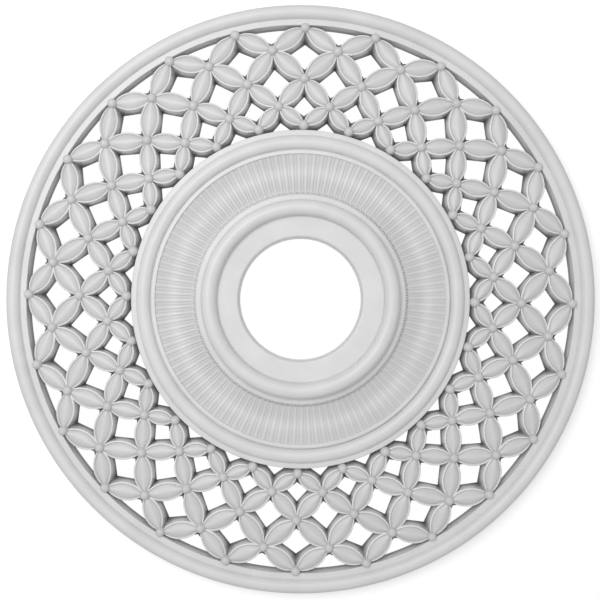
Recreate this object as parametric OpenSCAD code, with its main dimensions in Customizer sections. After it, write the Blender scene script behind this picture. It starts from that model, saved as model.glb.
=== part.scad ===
// Pierced ceiling rose, cast in one piece: a moulded boss around a centre hole,
// an open lattice of petals and beads, and a round outer rim.
// It lies on its flat back: +Z points out of the decorated face, the origin is
// the centre of the back, and all sizes are millimetres.

/* [Overall] */
// Outer diameter of the rose
rose_d = 508; // [420:1:640]
// Height of the lattice and rim fillet above the back
lattice_h = 13; // [10:0.5:20]

/* [Centre] */
// Diameter of the centre hole
bore_d = 106; // [80:1:140]
// Width of the flat seat around the hole
seat_w = 18.1; // [12:0.1:30]
// Height of the flat seat above the back
seat_h = 20.5; // [18:0.5:28]
// Width of the round collar bead outside the seat
collar_w = 14; // [10:0.1:20]
// Height of the collar's crest above the seat
collar_rise = 8.5; // [7.5:0.1:14]
// Width of the flat fillet between collar and reeds
inner_fillet_w = 4.6; // [3:0.1:8]
// Height of that fillet above the lattice
inner_fillet_rise = 5.5; // [4:0.1:9]

/* [Reeded band] */
// Radial width of the reeded band
reed_w = 35.2; // [24:0.1:60]
// Number of reeds round the band
reed_count = 116; // [60:1:132]
// Width of the groove between two reeds
reed_groove_w = 0.9; // [0.5:0.1:1.4]
// Depth of the groove between two reeds
reed_groove_d = 0.8; // [0.4:0.1:1.5]
// Height of the band's floor above the lattice
dish_rise = 1.3; // [0.5:0.1:3]
// Climb of the band from its floor to its outer end
dish_climb = 1.9; // [1:0.1:4]

/* [Boss edge] */
// Width of the flat fillet outside the reeds
outer_fillet_w = 4.1; // [3:0.1:8]
// Height of that fillet above the lattice
outer_fillet_rise = 4.2; // [3.5:0.1:6]
// Width of the half-round moulding near the boss's edge
roll_w = 12.4; // [9:0.1:18]
// Height of the half-round moulding
roll_rise = 4.6; // [3:0.1:6]
// Width of the fillet at the boss's edge
edge_fillet_w = 4.6; // [3:0.1:8]
// Height of the edge fillet above the lattice
edge_fillet_rise = 1.5; // [0.5:0.1:3]

/* [Rim] */
// Radial width of the rim
rim_w = 17.4; // [13:0.1:26]
// Width of the rim's half-round moulding
rim_roll_w = 12; // [8:0.1:12.4]
// Height of the rim's half-round moulding
rim_roll_rise = 5; // [3:0.1:6]

/* [Lattice] */
// Petals' nodes in each ring
node_count = 24; // [16:1:28]
// Radius of the bead at each node
node_bead_r = 4.1; // [3.5:0.1:5]
// Height of a bead's centre below the lattice's height
node_bead_sink = 0.6; // [0:0.1:2]
// Width of a petal at its middle, before it widens with its length
petal_w = 4.9; // [4:0.1:6]
// Widening of a petal for each millimetre of its length
petal_widen = 0.32; // [0.2:0.01:0.34]
// Least width of the web's bars, which a wider petal's bar exceeds
bar_w = 17; // [13:0.1:17.6]
// Height of a petal's face above the lattice
petal_rise = 0.8; // [0.2:0.1:2]
// Thickness of the straight-edged web behind the petals
web_t = 4; // [3:0.5:8]

/* [Hidden] */

// Facets of round surfaces, where the shape is drawn as a mesh.
fine = 192;
coarse = 32;
// Overshoot of cutting tools past the face that they open, and lap of a roll into its base.
over = 1;
lap = 0.2;

// Radii of the boss's mouldings, from the hole outwards.
bore_r = bore_d / 2;
seat_r = bore_r + seat_w;
collar_r = seat_r + collar_w;
reed_in_r = collar_r + inner_fillet_w;
reed_out_r = reed_in_r + reed_w;
roll_in_r = reed_out_r + outer_fillet_w;
roll_out_r = roll_in_r + roll_w;
boss_r = roll_out_r + edge_fillet_w;

// Heights of the boss's mouldings.
inner_fillet_h = lattice_h + inner_fillet_rise;
dish_h = lattice_h + dish_rise;
dish_end_h = dish_h + dish_climb;
outer_fillet_h = lattice_h + outer_fillet_rise;
edge_fillet_h = lattice_h + edge_fillet_rise;
edge_chamfer = 0.6;
crease = 0.5;

// Reeded band: a short fall from the inner fillet, a level floor, a climb outwards.
dish_fall = 1.8;
dish_level_share = 0.5;
dish_level_r = reed_in_r + dish_fall + (reed_w - dish_fall) * dish_level_share;
reed_margin = 1;

// Radii of the rim.
rose_r = rose_d / 2;
rim_ledge = 0.3;
rim_in_r = rose_r - rim_w;
rim_roll_in_r = rose_r - rim_ledge - rim_roll_w;

// Rings of nodes, from the rim inwards. The rows between them share the open width.
outer_inset = 0.6 * node_bead_r;
inner_inset = 1.1 * node_bead_r;
row_shares = [0.22, 0.302, 0.276, 0.202];
ring_span = rim_in_r - outer_inset - boss_r - inner_inset;
function shares_before(i) = i == 0 ? 0 : shares_before(i - 1) + row_shares[i - 1];
ring_rs = [for (i = [0:4]) rim_in_r - outer_inset - ring_span * shares_before(i)];
last_ring = len(ring_rs) - 1;
pitch = 360 / node_count;
// Node k of ring i, where every second ring is turned by half a pitch.
function node_turn(i, k) = pitch * (k + (i % 2) / 2);
function node_at(i, k) = ring_rs[i] * [cos(node_turn(i, k)), sin(node_turn(i, k))];
// Node of the next ring inwards, before or after node k of ring i.
function next_index(i, k, side) = k + side - (i % 2 == 0 ? 1 : 0);

// Gap between a node's centre and a petal's tip, inside the node's post.
petal_tip_gap = 0.25 * node_bead_r;
// Margin of the web past a petal's widest point, and share of a bar that an edge opening follows.
web_margin = 0.3;
edge_reach = 0.95;
// Height inside the web from which petals and posts rise.
foot_h = web_t / 2;

function unit(v) = v / norm(v);
function cross_z(a, b) = a[0] * b[1] - a[1] * b[0];
// Half widths of the petal between two nodes and of the web bar behind it.
function petal_half_w(a, b) = (petal_w + petal_widen * norm(b - a)) / 2;
function bar_half_w(a, b) = max(bar_w / 2, petal_half_w(a, b) + web_margin);
// Corner of an opening: node p moved off its bars to q and s by the bars' half widths.
function inset_corner(p, q, s) =
    let (eq = unit(q - p), es = unit(s - p))
    let (turn = abs(cross_z(eq, es)))
    p + eq * bar_half_w(p, s) / turn + es * bar_half_w(p, q) / turn;

module ring_profile(inner, outer, height) {
    translate([inner, 0])
        square([outer - inner, height]);
}

// Segment of a circle, width w and height rise on the line at height base, and lapped below it.
module roll_profile(inner, w, base, rise) {
    r = (pow(w / 2, 2) + rise * rise) / (2 * rise);
    intersection() {
        translate([inner + w / 2, base + rise - r])
            circle(r = r, $fn = fine);
        translate([inner - over, base - lap])
            square([w + 2 * over, rise + lap + over]);
    }
}

module collar_profile() {
    centre_h = seat_h + collar_rise - collar_w / 2;
    translate([seat_r + collar_w / 2, centre_h])
        circle(d = collar_w, $fn = fine);
    ring_profile(seat_r, collar_r, centre_h);
}

module boss_profile() {
    ring_profile(bore_r, seat_r + over, seat_h);
    collar_profile();
    polygon([
        [collar_r - over, 0],
        [boss_r, 0],
        [boss_r, edge_fillet_h - edge_chamfer],
        [boss_r - edge_chamfer, edge_fillet_h],
        [roll_in_r - crease, edge_fillet_h],
        [roll_in_r - 2 * crease, outer_fillet_h],
        [reed_out_r, outer_fillet_h],
        [reed_out_r, dish_end_h],
        [dish_level_r, dish_h],
        [reed_in_r + dish_fall, dish_h],
        [reed_in_r, inner_fillet_h],
        [collar_r - over, inner_fillet_h]
    ]);
    roll_profile(roll_in_r, roll_w, edge_fillet_h, roll_rise);
}

// One groove between reeds: a thin slot that follows the band's floor.
module reed_groove() {
    rotate([90, 0, 0])
        linear_extrude(height = reed_groove_w, center = true)
            polygon([
                [reed_in_r + dish_fall, dish_h - reed_groove_d],
                [dish_level_r, dish_h - reed_groove_d],
                [reed_out_r - reed_margin, dish_end_h - reed_groove_d],
                [reed_out_r - reed_margin, dish_end_h + over],
                [reed_in_r + reed_margin, dish_end_h + over],
                [reed_in_r + reed_margin, inner_fillet_h - reed_groove_d]
            ]);
}

module boss() {
    difference() {
        rotate_extrude($fn = fine)
            boss_profile();
        for (i = [0:reed_count - 1])
            rotate(i * 360 / reed_count)
                reed_groove();
    }
}

module rim() {
    rotate_extrude($fn = fine) {
        ring_profile(rim_in_r, rose_r, lattice_h);
        roll_profile(rim_roll_in_r, rim_roll_w, lattice_h, rim_roll_rise);
    }
}

// Pointed oval along +X between the circles of two arcs, length l and half width w.
module pointed_oval(l, w) {
    r = (l * l / 4 + w * w) / (2 * w);
    intersection() {
        translate([l / 2, w - r])
            circle(r = r, $fn = fine);
        translate([l / 2, r - w])
            circle(r = r, $fn = fine);
    }
}

// Petal between nodes a and b, with upright sides.
module petal(a, b) {
    l = norm(b - a) - 2 * petal_tip_gap;
    translate([a[0], a[1], foot_h])
        rotate(atan2(b[1] - a[1], b[0] - a[0]))
            translate([petal_tip_gap, 0, 0])
                linear_extrude(height = lattice_h + petal_rise - foot_h)
                    pointed_oval(l, petal_half_w(a, b));
}

// Post at a node, with a round bead for its top.
module node_bead(p) {
    centre_h = lattice_h - node_bead_sink - foot_h;
    translate([p[0], p[1], foot_h])
        rotate_extrude($fn = coarse) {
            square([node_bead_r, centre_h]);
            intersection() {
                translate([0, centre_h])
                    circle(r = node_bead_r, $fn = coarse);
                translate([0, centre_h - lap])
                    square([node_bead_r, node_bead_r + over]);
            }
        }
}

// Opening between four nodes: outer, two lateral and inner.
module diamond_opening(i, k) {
    outer = node_at(i, k);
    left = node_at(i + 1, next_index(i, k, 0));
    right = node_at(i + 1, next_index(i, k, 1));
    inner = node_at(i + 2, k);
    polygon([
        inset_corner(outer, left, right),
        inset_corner(left, outer, inner),
        inset_corner(inner, left, right),
        inset_corner(right, outer, inner)
    ]);
}

// Three-sided opening at a turned moulding: a corner, then out past the moulding's face.
module edge_opening(corner, left, right) {
    tip = inset_corner(corner, left, right);
    polygon([
        tip,
        tip + (left - corner) * edge_reach,
        tip + (right - corner) * edge_reach
    ]);
}
module web() {
    linear_extrude(height = web_t)
        difference() {
            circle(r = rim_in_r + over, $fn = fine);
            circle(r = boss_r - over, $fn = fine);
            for (k = [0:node_count - 1]) {
                for (i = [0:last_ring - 2])
                    diamond_opening(i, k);
                edge_opening(
                    node_at(1, k),
                    node_at(0, k),
                    node_at(0, k + 1)
                );
                edge_opening(
                    node_at(last_ring - 1, k),
                    node_at(last_ring, k),
                    node_at(last_ring, k + 1)
                );
            }
        }
}

module lattice() {
    web();
    for (i = [0:last_ring], k = [0:node_count - 1])
        node_bead(node_at(i, k));
    for (i = [0:last_ring - 1], k = [0:node_count - 1], side = [0, 1])
        petal(node_at(i, k), node_at(i + 1, next_index(i, k, side)));
}

module ceiling_rose() {
    color([0.86, 0.86, 0.85]) {
        boss();
        rim();
        lattice();
    }
}

ceiling_rose();
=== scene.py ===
"""Pierced ceiling rose: a moulded boss, a lattice of petals and beads, and a round rim.

The rose lies on its flat back on a pale floor. +Z points out of its decorated face
and the origin is the centre of its back. Sizes are in millimetres until a mesh is made.
"""

import logging
import math
from dataclasses import dataclass, field
from enum import Enum
from typing import Any, Mapping, Optional, Sequence, Union

import bmesh
import bpy
import numpy as np
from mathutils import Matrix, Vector

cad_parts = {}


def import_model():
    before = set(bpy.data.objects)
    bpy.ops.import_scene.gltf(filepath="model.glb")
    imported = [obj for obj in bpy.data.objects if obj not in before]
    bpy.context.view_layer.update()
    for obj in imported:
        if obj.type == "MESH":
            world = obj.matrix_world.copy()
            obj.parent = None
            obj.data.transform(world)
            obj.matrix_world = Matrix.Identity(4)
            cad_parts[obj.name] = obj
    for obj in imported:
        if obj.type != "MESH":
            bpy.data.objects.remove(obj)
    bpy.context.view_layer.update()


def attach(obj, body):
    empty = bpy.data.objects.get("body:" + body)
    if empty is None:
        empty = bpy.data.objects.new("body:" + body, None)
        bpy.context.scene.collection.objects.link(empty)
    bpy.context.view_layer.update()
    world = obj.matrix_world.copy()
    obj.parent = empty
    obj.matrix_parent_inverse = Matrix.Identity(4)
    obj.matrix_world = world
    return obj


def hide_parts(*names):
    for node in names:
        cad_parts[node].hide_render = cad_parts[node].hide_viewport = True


log = logging.getLogger("ceiling_rose")

METRES = 0.001
CAD_NODE = "ceiling_rose"
BODY = "root"
# point attribute that paints highlights (above 0) and shade (below 0) into the colour
PAINTED_LIGHT = "painted_highlight_and_shade"


# ---------------------------------------------------------------- shader graphs


class Link:
    """A socket of a shader graph, with the arithmetic that the finishes use."""

    def __init__(self, graph: "Graph", socket: bpy.types.NodeSocket) -> None:
        """Keeps the socket and the graph that it belongs to."""
        self.graph = graph
        self.socket = socket

    def _math(self, operation: str, first: "Value", second: "Value" = 0.0) -> "Link":
        """Adds one Math node.

        Args:
            operation: The node's operation.
            first: Its first value.
            second: Its second value.

        Returns:
            The node's result.
        """
        return self.graph.node(
            "ShaderNodeMath", {"operation": operation}, {0: first, 1: second}
        )

    def __add__(self, other: "Value") -> "Link":
        """Sum."""
        return self._math("ADD", self, other)

    def __radd__(self, other: "Value") -> "Link":
        """Sum, with this socket second."""
        return self._math("ADD", other, self)

    def __sub__(self, other: "Value") -> "Link":
        """Difference."""
        return self._math("SUBTRACT", self, other)

    def __rsub__(self, other: "Value") -> "Link":
        """Difference, with this socket second."""
        return self._math("SUBTRACT", other, self)

    def __mul__(self, other: "Value") -> "Link":
        """Product."""
        return self._math("MULTIPLY", self, other)

    def __rmul__(self, other: "Value") -> "Link":
        """Product, with this socket second."""
        return self._math("MULTIPLY", other, self)

Value = Union[float, Sequence[float], Link]


class Graph:
    """The node tree of one material or world."""

    def __init__(self, tree: bpy.types.NodeTree) -> None:
        """Empties the tree, so that every node in it is made here."""
        self.tree = tree
        tree.nodes.clear()

    def node(
        self,
        kind: str,
        settings: Optional[Mapping[str, Any]] = None,
        inputs: Optional[Mapping[Union[int, str], Value]] = None,
        output: Union[int, str] = 0,
    ) -> Link:
        """Adds a node of any type.

        Args:
            kind: The node's type.
            settings: Its properties, which are set before its sockets.
            inputs: Values or links of its sockets, by name or place.
            output: The socket that is handed on.

        Returns:
            The chosen output.
        """
        made = self.tree.nodes.new(kind)
        for name, value in (settings or {}).items():
            setattr(made, name, value)
        for name, value in (inputs or {}).items():
            if isinstance(value, Link):
                self.tree.links.new(value.socket, made.inputs[name])
            else:
                made.inputs[name].default_value = value
        return Link(self, made.outputs[output])

    def finish(self, kind: str, surface: Link) -> None:
        """Joins the surface to the tree's output node of that type."""
        out = self.tree.nodes.new(kind)
        self.tree.links.new(surface.socket, out.inputs["Surface"])


def smooth_step(
    graph: Graph, value: Link, start: float, end: float, low: float, high: float
) -> Link:
    """Changes smoothly from one number to another as a value goes from start to end.

    Args:
        graph: The graph that the value belongs to.
        value: The value.
        start: Where the change starts.
        end: Where it ends.
        low: The result up to the start.
        high: The result from the end on.

    Returns:
        The result.
    """
    return graph.node(
        "ShaderNodeMapRange",
        {"interpolation_type": "SMOOTHSTEP"},
        {"Value": value, "From Min": start, "From Max": end, "To Min": low, "To Max": high},
    )


def background_rays(graph: Graph) -> Link:
    """Marks the rays that show the background: camera, glossy and transmission rays.

    Args:
        graph: The graph that asks.

    Returns:
        At least 1 for such a ray, else 0.
    """
    kinds = ("Is Camera Ray", "Is Glossy Ray", "Is Transmission Ray")
    camera, glossy, through = (graph.node("ShaderNodeLightPath", output=kind) for kind in kinds)
    return camera + glossy + through


@dataclass(frozen=True)
class PrimedCasting:
    """White primer on a smooth cast urethane foam.

    Colours are linear. The skin is even, with a faint mottle of thicker and thinner
    primer, a fine spray grain and a very shallow unevenness left by the mould. Low
    between the petals the colour is darkened towards a grey as painted shade, and each
    piece's tone attribute paints highlights and shade into it.
    """

    name: str = "primed_casting"
    thin_coat: tuple[float, float, float, float] = (0.655, 0.655, 0.652, 1.0)
    thick_coat: tuple[float, float, float, float] = (0.705, 0.705, 0.703, 1.0)
    mottle_per_m: float = 38.0
    grain_per_m: float = 2600.0
    ripple_per_m: float = 120.0
    grain_height_m: float = 0.000035
    ripple_height_m: float = 0.00018
    grain_share: float = 0.2
    coat_from: float = 0.35
    coat_to: float = 0.65
    bump_strength: float = 0.55
    satin: float = 0.34
    satin_spread: float = 0.14
    painted_light_gain: float = 0.085
    # painted shade: a grey colour, and the heights over which it fades out, low in the lattice
    painted_shade: tuple[float, float, float, float] = (0.09, 0.09, 0.089, 1.0)
    shade_from_m: float = 0.0005
    shade_to_m: float = 0.0092
    lattice_in_m: float = 0.1435
    lattice_out_m: float = 0.2405
    lattice_edge_m: float = 0.003
    specular: float = 0.42
    ior: float = 1.46

    def noise(self, graph: Graph, per_m: float, detail: float, rough: float) -> Link:
        """Noise on object coordinates.

        Args:
            graph: The material's graph.
            per_m: Repeats in a metre.
            detail: Octaves.
            rough: Strength of the finer octaves.

        Returns:
            The noise, from 0 to 1.
        """
        where = graph.node("ShaderNodeTexCoord", output="Object")
        return graph.node(
            "ShaderNodeTexNoise",
            inputs={
                "Vector": where,
                "Scale": per_m,
                "Detail": detail,
                "Roughness": rough,
            },
        )

    def painted_shade_share(self, graph: Graph) -> Link:
        """Share of painted shade: the colour is darkened low between the petals.

        It is the product of three smooth steps: down in height, out past the boss's edge,
        and in from the rim.

        Args:
            graph: The material's graph.

        Returns:
            The share, from 0 to 1.
        """
        where = graph.node("ShaderNodeTexCoord", output="Object")
        height = graph.node("ShaderNodeSeparateXYZ", inputs={0: where}, output="Z")
        flat = graph.node(
            "ShaderNodeVectorMath", {"operation": "MULTIPLY"}, {0: where, 1: (1, 1, 0)}
        )
        out = graph.node("ShaderNodeVectorMath", {"operation": "LENGTH"}, {0: flat}, "Value")
        low = smooth_step(graph, height, self.shade_from_m, self.shade_to_m, 1.0, 0.0)
        past = smooth_step(
            graph, out, self.lattice_in_m, self.lattice_in_m + self.lattice_edge_m, 0.0, 1.0
        )
        before = smooth_step(
            graph, out, self.lattice_out_m - self.lattice_edge_m, self.lattice_out_m, 1.0, 0.0
        )
        return low * past * before

    def material(self) -> bpy.types.Material:
        """Makes the finish as a material.

        Returns:
            The material, ready for a piece.
        """
        made = bpy.data.materials.new(self.name)
        made.use_nodes = True
        graph = Graph(made.node_tree)
        mottle = self.noise(graph, self.mottle_per_m, 4.0, 0.55)
        grain = self.noise(graph, self.grain_per_m, 2.0, 0.6)
        ripple = self.noise(graph, self.ripple_per_m, 3.0, 0.5)
        coat = graph.node(
            "ShaderNodeMapRange",
            inputs={
                "Value": mottle * (1 - self.grain_share) + grain * self.grain_share,
                "From Min": self.coat_from,
                "From Max": self.coat_to,
            },
        )
        colour = graph.node(
            "ShaderNodeMix",
            {"data_type": "RGBA", "blend_type": "MIX"},
            {"Factor": coat, 6: self.thin_coat, 7: self.thick_coat},
            output=2,
        )
        # painted shade: the colour darkens towards a grey low in the lattice's recesses
        colour = graph.node(
            "ShaderNodeMix",
            {"data_type": "RGBA", "blend_type": "MIX"},
            {"Factor": self.painted_shade_share(graph), 6: colour, 7: self.painted_shade},
            output=2,
        )
        # painted highlights and shade: the tone attribute scales the colour up or down
        tone = graph.node("ShaderNodeAttribute", {"attribute_name": PAINTED_LIGHT}, output="Fac")
        colour = graph.node(
            "ShaderNodeVectorMath",
            {"operation": "SCALE"},
            {0: colour, "Scale": tone * self.painted_light_gain + 1.0},
        )
        height = ripple * self.ripple_height_m + grain * self.grain_height_m
        normal = graph.node(
            "ShaderNodeBump",
            inputs={"Strength": self.bump_strength, "Distance": 1.0, "Height": height},
        )
        surface = graph.node(
            "ShaderNodeBsdfPrincipled",
            inputs={
                "Base Color": colour,
                "Roughness": self.satin + (mottle - 0.5) * self.satin_spread,
                "Specular IOR Level": self.specular,
                "IOR": self.ior,
                "Normal": normal,
            },
        )
        graph.finish("ShaderNodeOutputMaterial", surface)
        return made


# ---------------------------------------------------------------- meshes


def grid_quads(rows: int, cols: int, loop_rows: bool, loop_cols: bool) -> np.ndarray:
    """Four corners of every cell of a grid whose points are numbered row by row.

    Args:
        rows: Points down the grid.
        cols: Points across the grid.
        loop_rows: The last row joins the first.
        loop_cols: The last column joins the first.

    Returns:
        Point numbers, one row of four for each cell.
    """
    r = np.arange(rows if loop_rows else rows - 1)
    c = np.arange(cols if loop_cols else cols - 1)
    rr, cc = (a.ravel() for a in np.meshgrid(r, c, indexing="ij"))
    down, across = (rr + 1) % rows, (cc + 1) % cols
    return np.stack(
        [rr * cols + cc, rr * cols + across, down * cols + across, down * cols + cc], axis=1
    )


def soften(corners: np.ndarray, steps: int = 4) -> np.ndarray:
    """Rounds the corners of a closed outline.

    Each corner c with a rounding d becomes the curve (1-t)^2 p + 2t(1-t) c + t^2 q, where
    p and q lie on its two sides at a distance d, or at 0.45 of the side where that is less.

    Args:
        corners: Rows of radius, height and rounding, in order round the outline.
        steps: Cells of each rounded corner.

    Returns:
        Rows of radius and height.
    """
    points, d = corners[:, :2], corners[:, 2]
    back = np.roll(points, 1, axis=0) - points
    ahead = np.roll(points, -1, axis=0) - points
    len_back = np.linalg.norm(back, axis=1)
    len_ahead = np.linalg.norm(ahead, axis=1)
    p = points + back * (np.minimum(d, 0.45 * len_back) / len_back)[:, None]
    q = points + ahead * (np.minimum(d, 0.45 * len_ahead) / len_ahead)[:, None]
    t = np.linspace(0.0, 1.0, steps + 1)[None, :, None]
    curve = (1 - t) ** 2 * p[:, None] + 2 * t * (1 - t) * points[:, None] + t**2 * q[:, None]
    keep = np.ones(curve.shape[:2], bool)
    keep[d <= 0, 1:] = False
    return curve[keep]


def arc(inner: float, outer: float, base: float, rise: float, steps: int) -> np.ndarray:
    """Points of a circle's segment that stands on a level line, from its inner end outwards.

    Its radius is (w^2/4 + rise^2) / (2 rise), where w is its width.

    Args:
        inner: Radius where it starts.
        outer: Radius where it ends.
        base: Height of the line.
        rise: Height of its crest above the line.
        steps: Cells along it.

    Returns:
        Rows of radius, height and a rounding of 0.
    """
    half = (outer - inner) / 2
    radius = (half * half + rise * rise) / (2 * rise)
    reach = math.atan2(half, radius - rise)
    turn = np.linspace(-reach, reach, steps + 1)
    return np.stack(
        [
            (inner + outer) / 2 + radius * np.sin(turn),
            base + rise - radius + radius * np.cos(turn),
            np.zeros_like(turn),
        ],
        axis=1,
    )


def revolve(outline: np.ndarray, cols: int) -> tuple[np.ndarray, np.ndarray]:
    """Turns a closed outline of radius and height round the Z axis.

    Args:
        outline: Rows of radius and height.
        cols: Cells round the turn.

    Returns:
        Points and the corners of each face.
    """
    turn = np.arange(cols) * (2 * np.pi / cols)
    r, z = outline[:, 0, None], outline[:, 1, None]
    points = np.stack(
        [r * np.cos(turn), r * np.sin(turn), z + 0 * turn], axis=-1
    ).reshape(-1, 3)
    return points, grid_quads(len(outline), cols, True, True)


def piece(
    name: str,
    points: np.ndarray,
    faces: Sequence[Sequence[int]],
    material: bpy.types.Material,
    crease_deg: float,
    tone: Optional[np.ndarray] = None,
) -> bpy.types.Object:
    """Makes one shown piece of the rose from points in millimetres.

    Args:
        name: The object's name.
        points: Rows of x, y and z.
        faces: Corners of each face.
        material: Its finish.
        crease_deg: Edges that turn by more than this stay sharp.
        tone: Painted highlight at each point, or painted shade where it is negative.

    Returns:
        The object, with faces outwards, riding on the rose's body.
    """
    mesh = bpy.data.meshes.new(name)
    mesh.from_pydata((points * METRES).tolist(), [], faces)
    if tone is not None:
        mesh.attributes.new(PAINTED_LIGHT, "FLOAT", "POINT").data.foreach_set(
            "value", np.ascontiguousarray(tone, np.float32)
        )
    shell = bmesh.new()
    shell.from_mesh(mesh)
    bmesh.ops.remove_doubles(shell, verts=shell.verts, dist=1e-7)
    bmesh.ops.recalc_face_normals(shell, faces=shell.faces)
    shell.to_mesh(mesh)
    shell.free()
    mesh.polygons.foreach_set("use_smooth", np.ones(len(mesh.polygons), bool))
    mesh.set_sharp_from_angle(angle=math.radians(crease_deg))
    mesh.materials.append(material)
    made = bpy.data.objects.new(name, mesh)
    bpy.context.scene.collection.objects.link(made)
    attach(made, BODY)
    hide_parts(CAD_NODE)
    log.info("%s: %d points, %d faces", name, len(mesh.vertices), len(mesh.polygons))
    return made


# ---------------------------------------------------------------- sub-assemblies


@dataclass
class Boss:
    """The turned middle of the rose: seat, collar, reeded band and edge mouldings."""

    bore_r: float = 53.0
    seat_r: float = 71.1
    seat_h: float = 20.5
    collar_r: float = 85.1
    collar_h: float = 29.0
    reed_in_r: float = 89.7
    inner_fillet_h: float = 18.5
    dish_fall: float = 1.8
    dish_h: float = 14.3
    dish_level_r: float = 108.2
    dish_end_h: float = 16.2
    reed_out_r: float = 124.9
    outer_fillet_h: float = 17.2
    roll_in_r: float = 129.0
    roll_out_r: float = 141.4
    roll_rise: float = 4.6
    edge_fillet_h: float = 14.5
    edge_r: float = 146.0
    crease: float = 0.5
    seam: float = 0.3
    turn_cells: int = 320
    reeds: int = 116
    reed_cells: int = 16
    reed_share: float = 0.64
    between_drop: float = 0.5
    reed_depth: float = 0.68
    # painted shade over the band and in its grooves, and a painted highlight ring on the crowns
    band_shade: float = -1.7
    groove_shade: float = 0.9
    crown_highlight: float = 1.7
    crown_r: float = 109.5
    crown_spread: float = 6.0
    reed_fullness: float = 0.94
    scallop: float = 1.5
    scallop_reach: float = 6.0
    reed_start: float = 3.2
    start_power: float = 0.7
    reed_stop: float = 1.2
    stop_depth: float = 0.55
    climb_power: float = 1.3

    def collar_outline(self) -> np.ndarray:
        """Outline of the seat, the round collar and the fillet outside it.

        Returns:
            Rows of radius and height.
        """
        bead_r = (self.collar_r - self.seat_r) / 2
        bead = arc(self.seat_r, self.collar_r, self.collar_h - bead_r, bead_r, 30)
        return soften(
            np.vstack(
                [
                    [self.bore_r, 0, 0.3],
                    [self.bore_r, self.seat_h, 2.2],
                    [self.seat_r, self.seat_h, 0.6],
                    bead,
                    [self.collar_r, self.inner_fillet_h, 0.6],
                    [self.reed_in_r, self.inner_fillet_h, 0.5],
                    [self.reed_in_r + self.seam, self.inner_fillet_h - 2.5, 0],
                    [self.reed_in_r + self.seam, 0, 0],
                ]
            )
        )

    def edge_outline(self) -> np.ndarray:
        """Outline of the fillet outside the reeds, the half-round roll and the edge.

        Returns:
            Rows of radius and height.
        """
        roll = arc(self.roll_in_r, self.roll_out_r, self.edge_fillet_h, self.roll_rise, 22)
        return soften(
            np.vstack(
                [
                    [self.reed_out_r, 0, 0],
                    [self.reed_out_r, self.outer_fillet_h, 0.45],
                    [self.roll_in_r - 2 * self.crease, self.outer_fillet_h, 0.5],
                    [self.roll_in_r - self.crease, self.edge_fillet_h, 0.2],
                    roll,
                    [self.edge_r - 0.6, self.edge_fillet_h, 0.4],
                    [self.edge_r, self.edge_fillet_h - 0.6, 0.4],
                    [self.edge_r, 0, 0.3],
                ]
            )
        )

    def reeded_band(self) -> tuple[np.ndarray, np.ndarray, np.ndarray]:
        """The band of wide and narrow round reeds, as a grid of radius against angle.

        With s from 0 to 1 off a reed's middle, its back lies below its crown by the share
        1 - sqrt(1 - (f s)^2) of an arc of fullness f, times the groove's depth. A narrow
        reed's crown is a little lower and fills the gap between two wide ones. Towards the
        hole the reeds end in round scallops: the fall to the band's floor starts s^2 times
        the scallop's length further out. The tone paints a highlight on the crowns where
        the band swells, and paints shade over the band and deeper in the grooves.

        Returns:
            Points, the corners of each face, and each point's tone.
        """
        level = np.linspace(self.reed_in_r + self.dish_fall, self.dish_level_r, 9)
        climb = np.linspace(self.dish_level_r, self.reed_out_r + self.seam, 13)[1:]
        fall_share = np.linspace(0.0, 1.0, 7)[:-1]
        fall = self.reed_in_r + self.dish_fall * fall_share
        crown_r = np.concatenate([fall, level, climb])
        fall_h = self.dish_h + (self.inner_fillet_h - self.dish_h) * (
            0.5 + 0.5 * np.cos(np.pi * fall_share)
        )
        climb_share = (climb - self.dish_level_r) / (self.reed_out_r - self.dish_level_r)
        climb_h = self.dish_h + (self.dish_end_h - self.dish_h) * climb_share**self.climb_power
        crown_h = np.concatenate([fall_h, np.full(len(level), self.dish_h), climb_h])

        cols = self.reeds * self.reed_cells
        turn = np.arange(cols) * (2 * np.pi / cols)
        off_middle = np.abs(2 * (np.arange(cols) % self.reed_cells) / self.reed_cells - 1)
        wide = off_middle <= self.reed_share
        across = np.where(
            wide, off_middle / self.reed_share, (1 - off_middle) / (1 - self.reed_share)
        )
        bend = 1 - np.sqrt(1 - (self.reed_fullness * across) ** 2)
        bend /= 1 - math.sqrt(1 - self.reed_fullness**2)
        bend = np.where(wide, bend, self.between_drop + (1 - self.between_drop) * bend)
        from_hole = np.clip((crown_r - self.reed_in_r) / self.reed_start, 0, 1)
        before_end = np.clip((self.reed_out_r - crown_r) / self.reed_stop, 0, 1)
        depth = self.reed_depth * from_hole**self.start_power
        depth = depth * (self.stop_depth + (1 - self.stop_depth) * before_end)
        past_fall = crown_r - self.reed_in_r - self.dish_fall
        fade = np.clip(1 - past_fall / self.scallop_reach, 0, 1)
        fade[0] = 0.0
        r = crown_r[:, None] + self.scallop * fade[:, None] * across[None, :] ** 2
        z = crown_h[:, None] - depth[:, None] * bend[None, :]

        under_r = np.array([self.reed_out_r + self.seam, self.reed_in_r])[:, None]
        under_z = np.zeros((2, 1))
        r = np.vstack([r, under_r + 0 * across[None, :]])
        z = np.vstack([z, under_z + 0 * across[None, :]])
        points = np.stack([r * np.cos(turn), r * np.sin(turn), z], axis=-1)
        # painted light: shade over the band and in the grooves, a highlight where the band
        # swells
        tone = np.zeros_like(r)
        highlight_share = np.exp(-(((crown_r - self.crown_r) / self.crown_spread) ** 2))
        tone[: len(crown_r)] = (
            self.band_shade
            + self.crown_highlight * highlight_share[:, None] * (1 - 0.5 * bend[None, :])
            - self.groove_shade * bend[None, :] * (depth[:, None] / self.reed_depth)
        ) * from_hole[:, None]
        return points.reshape(-1, 3), grid_quads(len(r), cols, True, True), tone.ravel()

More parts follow.
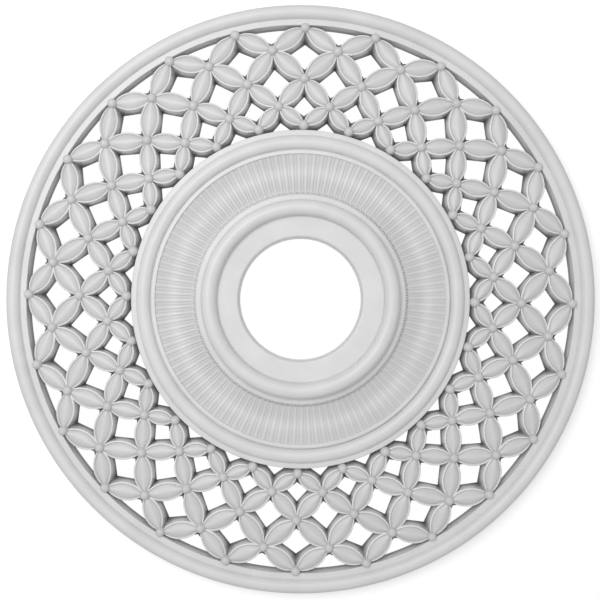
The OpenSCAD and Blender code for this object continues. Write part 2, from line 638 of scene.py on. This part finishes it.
    def build(self, material: bpy.types.Material) -> None:
        """Makes the boss's three turned shells."""
        points, faces = revolve(self.collar_outline(), self.turn_cells)
        piece("boss_collar", points, faces.tolist(), material, crease_deg=50)
        points, faces, tone = self.reeded_band()
        piece("boss_reeds", points, faces.tolist(), material, crease_deg=62, tone=tone)
        points, faces = revolve(self.edge_outline(), self.turn_cells)
        piece("boss_edge", points, faces.tolist(), material, crease_deg=50)


@dataclass
class Rim:
    """The turned rim: a flat fillet and a half-round roll."""

    inner_r: float = 236.6
    roll_in_r: float = 241.7
    outer_r: float = 254.0
    ledge: float = 0.3
    level_h: float = 13.0
    roll_rise: float = 5.0
    turn_cells: int = 480
    # painted shade over the roll's outer shoulder
    shoulder_shade: float = -1.8

    def outline(self) -> np.ndarray:
        """Outline of the rim.

        Returns:
            Rows of radius and height.
        """
        roll_out_r = self.outer_r - self.ledge
        roll = arc(self.roll_in_r, roll_out_r, self.level_h, self.roll_rise, 24)
        return soften(
            np.vstack(
                [
                    [self.inner_r, 0, 0.3],
                    [self.inner_r, self.level_h, 0.5],
                    [self.roll_in_r - 0.15, self.level_h - 0.1, 0.1],
                    roll[1:-1],
                    [self.outer_r - 0.1, self.level_h - 0.6, 0.5],
                    [self.outer_r, self.level_h - 3.0, 0.5],
                    [self.outer_r, 0, 0.4],
                ]
            )
        )

    def build(self, material: bpy.types.Material) -> None:
        """Makes the rim's shell, with shade painted darker over the roll's outer shoulder.

        The tone falls with the square of the way from the roll's crest to the rim's edge.
        """
        outline = self.outline()
        points, faces = revolve(outline, self.turn_cells)
        crest_r = (self.roll_in_r + self.outer_r) / 2
        way = np.clip((outline[:, 0] - crest_r) / (self.outer_r - crest_r), 0, 1)
        # painted shade, darkest at the rim's edge
        tone = np.repeat(self.shoulder_shade * way**2, self.turn_cells)
        piece("rim", points, faces.tolist(), material, crease_deg=50, tone=tone)


class Side(Enum):
    """The two petals that leave a node towards the hole."""

    LEFT = 0
    RIGHT = 1


@dataclass(frozen=True)
class LipLine:
    """One line along a petal's lip, at the petal's full width.

    It lies in from the edge by shares of the crest's and of the groove's distance, at a
    level above the lattice's, and has a tone: a painted highlight on the lip, painted
    shade in the groove.
    """

    of_crest: float
    of_groove: float
    level: float
    tone: float


@dataclass
class Lattice:
    """The open lattice between boss and rim: petals, beads on posts, and a web behind."""

    level_h: float = 13.0
    boss_r: float = 146.0
    rim_r: float = 236.6
    per_ring: int = 24
    bead_r: float = 4.1
    shown_bead_r: float = 4.3
    bead_sink: float = 0.2
    bead_wander: float = 0.28
    bead_sizes: tuple[float, float] = (0.96, 1.02)
    bead_rows: int = 7
    bead_cols: int = 18
    # painted shade at each bead's foot and a painted highlight on its crown
    bead_foot_shade: float = -2.0
    bead_crown_highlight: float = 0.6
    outer_inset: float = 0.6
    inner_inset: float = 1.1
    row_shares: tuple[float, ...] = (0.22, 0.302, 0.276, 0.202)
    tip_gap: float = 0.25
    petal_w: float = 4.9
    petal_widen: float = 0.32
    bar_w: float = 17.0
    web_margin: float = 0.4
    web_h: float = 1.0
    foot_h: float = 0.6
    lap: float = 0.6
    lip_w: float = 1.1
    lip_full_at: float = 0.62
    groove_at: float = 2.0
    groove_limit: float = 0.6
    edge_drop: float = 0.55
    # the lip's tones paint a highlight on the crest and shade in the groove
    lip: tuple[LipLine, ...] = (
        LipLine(0.0, 0.0, -0.55, 0.6),
        LipLine(0.18, 0.0, -0.165, 1.9),
        LipLine(0.6, 0.0, 0.375, 2.6),
        LipLine(1.0, 0.0, 0.5, 2.4),
        LipLine(0.5, 0.5, -0.06, -0.6),
        LipLine(0.0, 1.0, -0.6, -2.6),
    )
    fullness: float = 0.74
    pillow_rise: float = 1.6
    pillow_power: float = 0.8
    swell_power: float = 2.3
    ridge: float = 0.3
    # the pillow's tones paint shade over its flanks, and less on the ridge, which reads as a
    # painted highlight
    ridge_highlight: float = -0.5
    pillow: tuple[tuple[float, float], ...] = (
        (0.12, -1.7),
        (0.3, -1.5),
        (0.55, -1.3),
        (0.84, -0.8),
    )
    length_cells: int = 14
    tip_crowding: float = 0.55
    wall_flare: tuple[tuple[float, float], ...] = (
        (0.03, 0.8),
        (0.14, 0.52),
        (0.42, 0.24),
        (1.0, 0.0),
    )
    seed: int = 7
    ring_rs: np.ndarray = field(init=False)

    def __post_init__(self) -> None:
        """Shares the open width between boss and rim out to the rings of nodes."""
        outer = self.rim_r - self.outer_inset * self.bead_r
        span = outer - self.boss_r - self.inner_inset * self.bead_r
        steps = np.concatenate([[0.0], np.cumsum(self.row_shares)])
        self.ring_rs = outer - span * steps

    def node(self, ring: Union[int, np.ndarray], k: np.ndarray) -> np.ndarray:
        """Places of nodes: ring i lies at its radius, turned by half a pitch where i is odd.

        Args:
            ring: The ring, from the rim inwards.
            k: The node's number in it.

        Returns:
            Rows of x and y.
        """
        ring = np.asarray(ring)
        turn = (np.asarray(k) + (ring % 2) / 2) * (2 * np.pi / self.per_ring)
        r = self.ring_rs[ring]
        return np.stack([r * np.cos(turn), r * np.sin(turn)], axis=-1)

    @staticmethod
    def inwards(ring: int, k: np.ndarray, side: Side) -> np.ndarray:
        """Number of the next ring's node to the left or right of node k."""
        return k + side.value - (1 if ring % 2 == 0 else 0)

    def petal_half_w(self, reach: np.ndarray) -> np.ndarray:
        """Half width of a petal between nodes that lie this far apart."""
        return (self.petal_w + self.petal_widen * reach) / 2

    def bar_half_w(self, reach: np.ndarray) -> np.ndarray:
        """Half width of the web's bar behind that petal."""
        return np.maximum(self.bar_w / 2, self.petal_half_w(reach) + self.web_margin)

    def bars(self) -> tuple[np.ndarray, np.ndarray]:
        """Both end nodes of every bar of the lattice.

        Returns:
            Outer ends and inner ends, rows of x and y.
        """
        k = np.arange(self.per_ring)
        ends = [
            (self.node(i, k), self.node(i + 1, self.inwards(i, k, side)))
            for i in range(len(self.row_shares))
            for side in Side
        ]
        return np.vstack([a for a, _ in ends]), np.vstack([b for _, b in ends])

    def petals(self) -> tuple[np.ndarray, list[list[int]], np.ndarray]:
        """All petals, each a grid of length against a closed run across it.

        With t from -1 to 1 along a petal, its half width is w (1 - t^2)^f: a pointed oval,
        fuller than two arcs where f is under 1. From its edge inwards its face rises over
        a round lip, sinks into a narrow groove, and swells to a pillow whose height goes
        with (1 - t^4)^p. At a share s of the way from groove to ridge the pillow has
        reached (1 - r)(1 - (1 - s)^q) + r s of its height, so r sharpens its ridge. Its
        sides flare down to the straight bar behind it.

        Returns:
            Points, the corners of each face, and each point's tone.
        """
        a, b = self.bars()
        reach = np.linalg.norm(b - a, axis=1)
        along = (b - a) / reach[:, None]
        beside = np.stack([-along[:, 1], along[:, 0]], axis=1)
        gap = self.tip_gap * self.bead_r
        length = reach - 2 * gap
        half_w = self.petal_half_w(reach)

        t = np.linspace(0, 1, self.length_cells + 1)
        u = self.tip_crowding * (1 - np.cos(np.pi * t)) / 2 + (1 - self.tip_crowding) * t
        w = half_w[:, None] * np.maximum(1 - (2 * u[None] - 1) ** 2, 0) ** self.fullness

        share = np.clip(w / (self.lip_full_at * half_w[:, None]), 0, 1)
        crest = self.lip_w * share
        groove = np.minimum(self.groove_at * share, self.groove_limit * w)
        sunk = self.level_h - self.edge_drop * (1 - share)
        offsets = [w - line.of_crest * crest - line.of_groove * groove for line in self.lip]
        heights = [sunk + line.level * share for line in self.lip]

        floor = heights[-1]
        dome = (1 - (2 * u[None] - 1) ** 4) ** self.pillow_power
        crown = sunk + self.pillow_rise * dome
        for s, _ in self.pillow:
            swell = (1 - self.ridge) * (1 - (1 - s) ** self.swell_power) + self.ridge * s
            offsets.append(w - groove - (w - groove) * s)
            heights.append(floor + (crown - floor) * swell)
        # painted light: highlight on the lip, shade in the groove and over the pillow
        side_tone = [line.tone for line in self.lip] + [tone for _, tone in self.pillow]
        wall_tone = [0.0] * 2 * len(self.wall_flare)
        tones = np.array(side_tone + [self.ridge_highlight] + side_tone[::-1] + wall_tone)
        offsets = offsets + [0 * w] + [-o for o in reversed(offsets)]
        heights = heights + [crown] + heights[::-1]

        spare = self.bar_half_w(reach)[:, None] - w
        wall = [
            (
                w + spread * spare,
                np.full_like(w, self.foot_h + lift * (self.level_h - self.foot_h)),
            )
            for spread, lift in self.wall_flare
        ]
        offsets += [-o for o, _ in wall] + [o for o, _ in reversed(wall)]
        heights += [z for _, z in wall] + [z for _, z in reversed(wall)]

        offset = np.stack(offsets, axis=-1)
        height = np.stack(heights, axis=-1)
        place = (
            a[:, None, None]
            + along[:, None, None] * (gap + length[:, None] * u)[:, :, None, None]
            + beside[:, None, None] * offset[..., None]
        )
        points = np.concatenate([place, height[..., None]], axis=-1)
        petals, rows, cols = offset.shape
        one = grid_quads(rows, cols, False, True)
        first = (np.arange(petals) * rows * cols)[:, None]
        faces = (one[None] + first[..., None]).reshape(-1, 4).tolist()
        near_end = first + np.arange(cols)
        faces += near_end.tolist() + (near_end + (rows - 1) * cols).tolist()
        tone = np.broadcast_to(tones, (petals, rows, cols)).ravel()
        return points.reshape(-1, 3), faces, tone

    def beads(self) -> tuple[np.ndarray, list[list[int]], np.ndarray]:
        """A round bead on a post at every node: a quarter circle turned about its axis.

        The beads wander a little from their nodes, as hand-set beads in a mould do. Their
        colour is painted paler on the crown as a highlight and darker at the foot as shade,
        by the cosine of the bend.

        Returns:
            Points, the corners of each face, and each point's tone.
        """
        k = np.arange(self.per_ring)
        places = np.vstack([self.node(i, k) for i in range(len(self.ring_rs))])
        chance = np.random.default_rng(self.seed)
        places = places + chance.uniform(-self.bead_wander, self.bead_wander, places.shape)
        size = self.shown_bead_r * chance.uniform(*self.bead_sizes, len(places))
        bend = np.linspace(0, np.pi / 2, self.bead_rows)
        r = np.concatenate([np.sin(bend), [1.0, 0.0]])
        z = np.concatenate([np.cos(bend), [0.0, 0.0]])
        centre_h = self.level_h - self.bead_sink
        cols = self.bead_cols
        turn = np.arange(cols) * (2 * np.pi / cols)
        ring = np.stack(
            [r[:, None] * np.cos(turn), r[:, None] * np.sin(turn), z[:, None] + 0 * turn],
            axis=-1,
        )
        points = ring[None] * size[:, None, None, None]
        points[..., :2] += places[:, None, None, :]
        points[..., 2] += centre_h
        points[:, -2:, :, 2] = self.foot_h
        count, rows = len(places), len(r)
        one = grid_quads(rows, cols, False, True)
        faces = one[None] + (np.arange(count) * rows * cols)[:, None, None]
        # painted highlight on the crown, painted shade at the foot
        tone = (self.bead_foot_shade + self.bead_crown_highlight * z)[:, None]
        tone = np.broadcast_to(tone, (count, rows, cols))
        return points.reshape(-1, 3), faces.reshape(-1, 4).tolist(), tone.ravel()

    def inset(self, p: np.ndarray, q: np.ndarray, s: np.ndarray) -> np.ndarray:
        """Corner of an opening: p moved off its bars to q and s by the bars' half widths.

        With unit vectors e towards q and f towards s, it is
        p + (e h(p, s) + f h(p, q)) / |e x f|, where h is a bar's half width.

        Args:
            p: Nodes at the corner.
            q: Nodes at the far end of one bar.
            s: Nodes at the far end of the other.

        Returns:
            Rows of x and y.
        """
        to_q, to_s = q - p, s - p
        len_q = np.linalg.norm(to_q, axis=1, keepdims=True)
        len_s = np.linalg.norm(to_s, axis=1, keepdims=True)
        e, f = to_q / len_q, to_s / len_s
        turn = np.abs(e[:, 0] * f[:, 1] - e[:, 1] * f[:, 0])[:, None]
        half_q, half_s = self.bar_half_w(len_q), self.bar_half_w(len_s)
        return p + (e * half_s + f * half_q) / turn

    @staticmethod
    def to_circle(start: np.ndarray, step: np.ndarray, radius: float) -> np.ndarray:
        """First point of start + t step, with t over 0, that lies on a circle.

        t solves |start + t step| = radius.

        Args:
            start: Rows of x and y.
            step: Directions.
            radius: The circle's radius.

        Returns:
            Rows of x and y.
        """
        a = (step**2).sum(axis=1)
        b = (start * step).sum(axis=1)
        c = (start**2).sum(axis=1) - radius**2
        root = np.sqrt(np.maximum(b * b - a * c, 0))
        near, far = (-b - root) / a, (-b + root) / a
        t = np.where(near > 0, near, far)
        return start + step * t[:, None]

    def web(self) -> tuple[np.ndarray, list[list[int]]]:
        """The web behind the petals, with a straight-edged opening between its bars.

        The openings' corners are its only points, at its back and at its front. A face
        round each node and one along each bar fill the plane between the openings.

        Returns:
            Points and the corners of each face.
        """
        n, k = self.per_ring, np.arange(self.per_ring)
        last = len(self.row_shares)
        corners: list[np.ndarray] = []
        diamonds: list[np.ndarray] = []
        for i in range(last - 1):
            outer, inner = self.node(i, k), self.node(i + 2, k)
            left = self.node(i + 1, self.inwards(i, k, Side.LEFT))
            right = self.node(i + 1, self.inwards(i, k, Side.RIGHT))
            diamonds.append(len(corners) * n + k[:, None] + np.arange(4) * n)
            corners += [
                self.inset(outer, left, right),
                self.inset(left, outer, inner),
                self.inset(inner, left, right),
                self.inset(right, outer, inner),
            ]
        edges: list[np.ndarray] = []
        for tip_ring, edge_ring, radius in (
            (1, 0, self.rim_r + self.lap),
            (last - 1, last, self.boss_r - self.lap),
        ):
            tip_node = self.node(tip_ring, k)
            left, right = self.node(edge_ring, k), self.node(edge_ring, k + 1)
            tip = self.inset(tip_node, left, right)
            edges.append(len(corners) * n + k[:, None] + np.arange(3) * n)
            corners += [
                tip,
                self.to_circle(tip, left - tip_node, radius),
                self.to_circle(tip, right - tip_node, radius),
            ]
        flat = np.vstack(corners)
        rim_gap, boss_gap = edges

        def gap(i: int, m: np.ndarray, corner: int) -> np.ndarray:
            """Point numbers of a diamond's corner: 0 outer, 1 left, 2 inner, 3 right."""
            return diamonds[i][m % n, corner]

        faces: list[np.ndarray] = []
        for i in range(last + 1):
            odd = i % 2
            if i == 0:
                faces.append(np.stack([gap(0, k, 0), rim_gap[(k - 1) % n, 2], rim_gap[k, 1]], 1))
                continue
            if i == last:
                faces.append(
                    np.stack([gap(i - 2, k, 2), boss_gap[(k - 1) % n, 2], boss_gap[k, 1]], 1)
                )
                continue
            out = rim_gap[k, 0] if i == 1 else gap(i - 2, k, 2)
            into = boss_gap[k, 0] if i == last - 1 else gap(i, k, 0)
            before = gap(i - 1, k if odd else k - 1, 3)
            after = gap(i - 1, k + 1 if odd else k, 1)
            faces.append(np.stack([out, before, into, after], 1))
        for i in range(last):
            for side in Side:
                m = self.inwards(i, k, side) % n
                near, far = (1, 3) if side is Side.LEFT else (3, 1)
                if i == last - 1:
                    own = boss_gap[k, 0], boss_gap[k, 1 if side is Side.LEFT else 2]
                else:
                    own = gap(i, k, 0), gap(i, k, near)
                if i == 0:
                    other = rim_gap[m, 2 if side is Side.LEFT else 1], rim_gap[m, 0]
                else:
                    other = gap(i - 1, m, far), gap(i - 1, m, 2)
                faces.append(np.stack([own[0], own[1], other[1], other[0]], 1))
        plan = [f for group in faces for f in group.tolist()]

        count = len(flat)
        back = np.column_stack([flat, np.zeros(count)])
        front = np.column_stack([flat, np.full(count, self.web_h)])
        both = [tuple(sorted((f[j], f[j - 1]))) for f in plan for j in range(len(f))]
        pairs, uses = np.unique(np.array(both), axis=0, return_counts=True)
        open_edges = pairs[uses == 1]
        walls = np.column_stack(
            [open_edges, open_edges[:, 1] + count, open_edges[:, 0] + count]
        ).tolist()
        fronts = [[v + count for v in f] for f in plan]
        return np.vstack([back, front]), plan + fronts + walls

    def build(self, material: bpy.types.Material) -> None:
        """Makes the lattice's petals, beads and web."""
        points, faces, tone = self.petals()
        piece("lattice_petals", points, faces, material, crease_deg=55, tone=tone)
        points, faces, tone = self.beads()
        piece("lattice_beads", points, faces, material, crease_deg=60, tone=tone)
        points, faces = self.web()
        piece("lattice_web", points, faces, material, crease_deg=30)


# ---------------------------------------------------------------- stage


@dataclass(frozen=True)
class Floor:
    """A plain pale floor that takes the rose's shadow and fades to white further out."""

    half_m: float = 4.0
    drop_m: float = 0.0006
    colour: tuple[float, float, float, float] = (0.8, 0.8, 0.8, 1.0)
    shaded: tuple[float, float, float, float] = (0.45, 0.45, 0.45, 1.0)
    lift: float = 0.34
    clear_r_m: float = 0.24
    clear_edge_m: float = 0.01
    fade_from_m: float = 0.42
    fade_to_m: float = 0.9

    def material(self) -> bpy.types.Material:
        """Floor finish: it glows a little to the camera, and is plain white in the openings
        and far away.

        Returns:
            The material.
        """
        made = bpy.data.materials.new("pale_floor")
        made.use_nodes = True
        graph = Graph(made.node_tree)
        seen = background_rays(graph)
        where = graph.node("ShaderNodeTexCoord", output="Object")
        out = graph.node("ShaderNodeVectorMath", {"operation": "LENGTH"}, {0: where}, "Value")
        inside = smooth_step(
            graph, out, self.clear_r_m, self.clear_r_m + self.clear_edge_m, 1.0, 0.0
        )
        far = smooth_step(graph, out, self.fade_from_m, self.fade_to_m, 0.0, 1.0)
        matt = graph.node("ShaderNodeBsdfDiffuse", inputs={"Color": self.colour})
        dim = graph.node("ShaderNodeBsdfDiffuse", inputs={"Color": self.shaded})
        glow = graph.node(
            "ShaderNodeEmission", inputs={"Color": (1, 1, 1, 1), "Strength": self.lift}
        )
        white = graph.node(
            "ShaderNodeEmission", inputs={"Color": (1, 1, 1, 1), "Strength": 1.0}
        )
        lifted = graph.node("ShaderNodeAddShader", inputs={0: matt, 1: glow})
        shown = graph.node("ShaderNodeMixShader", inputs={0: inside + far, 1: lifted, 2: white})
        surface = graph.node("ShaderNodeMixShader", inputs={0: seen, 1: dim, 2: shown})
        graph.finish("ShaderNodeOutputMaterial", surface)
        return made

    def build(self) -> None:
        """Makes the floor just under the rose's back."""
        h, z = self.half_m, -self.drop_m
        mesh = bpy.data.meshes.new("floor")
        mesh.from_pydata(
            [(-h, -h, z), (h, -h, z), (h, h, z), (-h, h, z)], [], [(0, 1, 2, 3)]
        )
        mesh.materials.append(self.material())
        made = bpy.data.objects.new("floor", mesh)
        bpy.context.scene.collection.objects.link(made)


@dataclass(frozen=True)
class Studio:
    """Soft key light from the upper left, an even pale surround, and the camera."""

    overhead: float = 0.73
    horizon: float = 0.32
    key_turn_deg: float = 139.0
    key_lift_deg: float = 67.0
    key_away_m: float = 0.95
    key_size_m: float = 0.55
    key_watts: float = 4.2
    lens_mm: float = 44.03
    camera_h_m: float = 0.646
    camera_xy_m: tuple[float, float] = (-0.00043, -0.00069)
    camera_roll_deg: float = 1.04

    def world(self) -> None:
        """Lights the scene softly, most from overhead, and shows white to the camera."""
        world = bpy.data.worlds.new("surround")
        bpy.context.scene.world = world
        world.use_nodes = True
        graph = Graph(world.node_tree)
        seen = background_rays(graph)
        way = graph.node("ShaderNodeTexCoord", output="Generated")
        lift = graph.node("ShaderNodeSeparateXYZ", inputs={0: way}, output="Z")
        level = smooth_step(graph, lift, 0.0, 1.0, self.horizon, self.overhead)
        light = graph.node(
            "ShaderNodeBackground", inputs={"Color": (1, 1, 1, 1), "Strength": level}
        )
        white = graph.node(
            "ShaderNodeBackground", inputs={"Color": (1, 1, 1, 1), "Strength": 1.0}
        )
        surface = graph.node("ShaderNodeMixShader", inputs={0: seen, 1: light, 2: white})
        graph.finish("ShaderNodeOutputWorld", surface)

    def key(self) -> None:
        """Hangs the large soft lamp and turns it to the rose's middle."""
        turn, lift = math.radians(self.key_turn_deg), math.radians(self.key_lift_deg)
        way = Vector(
            (math.cos(turn) * math.cos(lift), math.sin(turn) * math.cos(lift), math.sin(lift))
        )
        lamp = bpy.data.lights.new("key", "AREA")
        lamp.shape = "SQUARE"
        lamp.size = self.key_size_m
        lamp.energy = self.key_watts
        made = bpy.data.objects.new("key", lamp)
        made.location = way * self.key_away_m
        made.rotation_mode = "QUATERNION"
        made.rotation_quaternion = way.to_track_quat("Z", "Y")
        bpy.context.scene.collection.objects.link(made)

    def camera(self) -> None:
        """Sets the camera straight above the rose."""
        lens = bpy.data.cameras.new("camera")
        lens.lens = self.lens_mm
        lens.sensor_width = 36.0
        lens.clip_start, lens.clip_end = 0.01, 50.0
        made = bpy.data.objects.new("camera", lens)
        made.location = (*self.camera_xy_m, self.camera_h_m)
        made.rotation_euler = (0.0, 0.0, math.radians(self.camera_roll_deg))
        bpy.context.scene.collection.objects.link(made)
        bpy.context.scene.camera = made

    def build(self) -> None:
        """Sets up the surround, the lamp, the camera and the plain view transform."""
        self.world()
        self.key()
        self.camera()
        bpy.context.scene.view_settings.view_transform = "Standard"


def main() -> None:
    """Loads the frame, then makes the rose, the floor and the studio."""
    logging.basicConfig(level=logging.INFO, format="%(name)s %(message)s")
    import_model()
    finish = PrimedCasting().material()
    Boss().build(finish)
    Lattice().build(finish)
    Rim().build(finish)
    Floor().build()
    Studio().build()


if __name__ == "__main__":
    main()
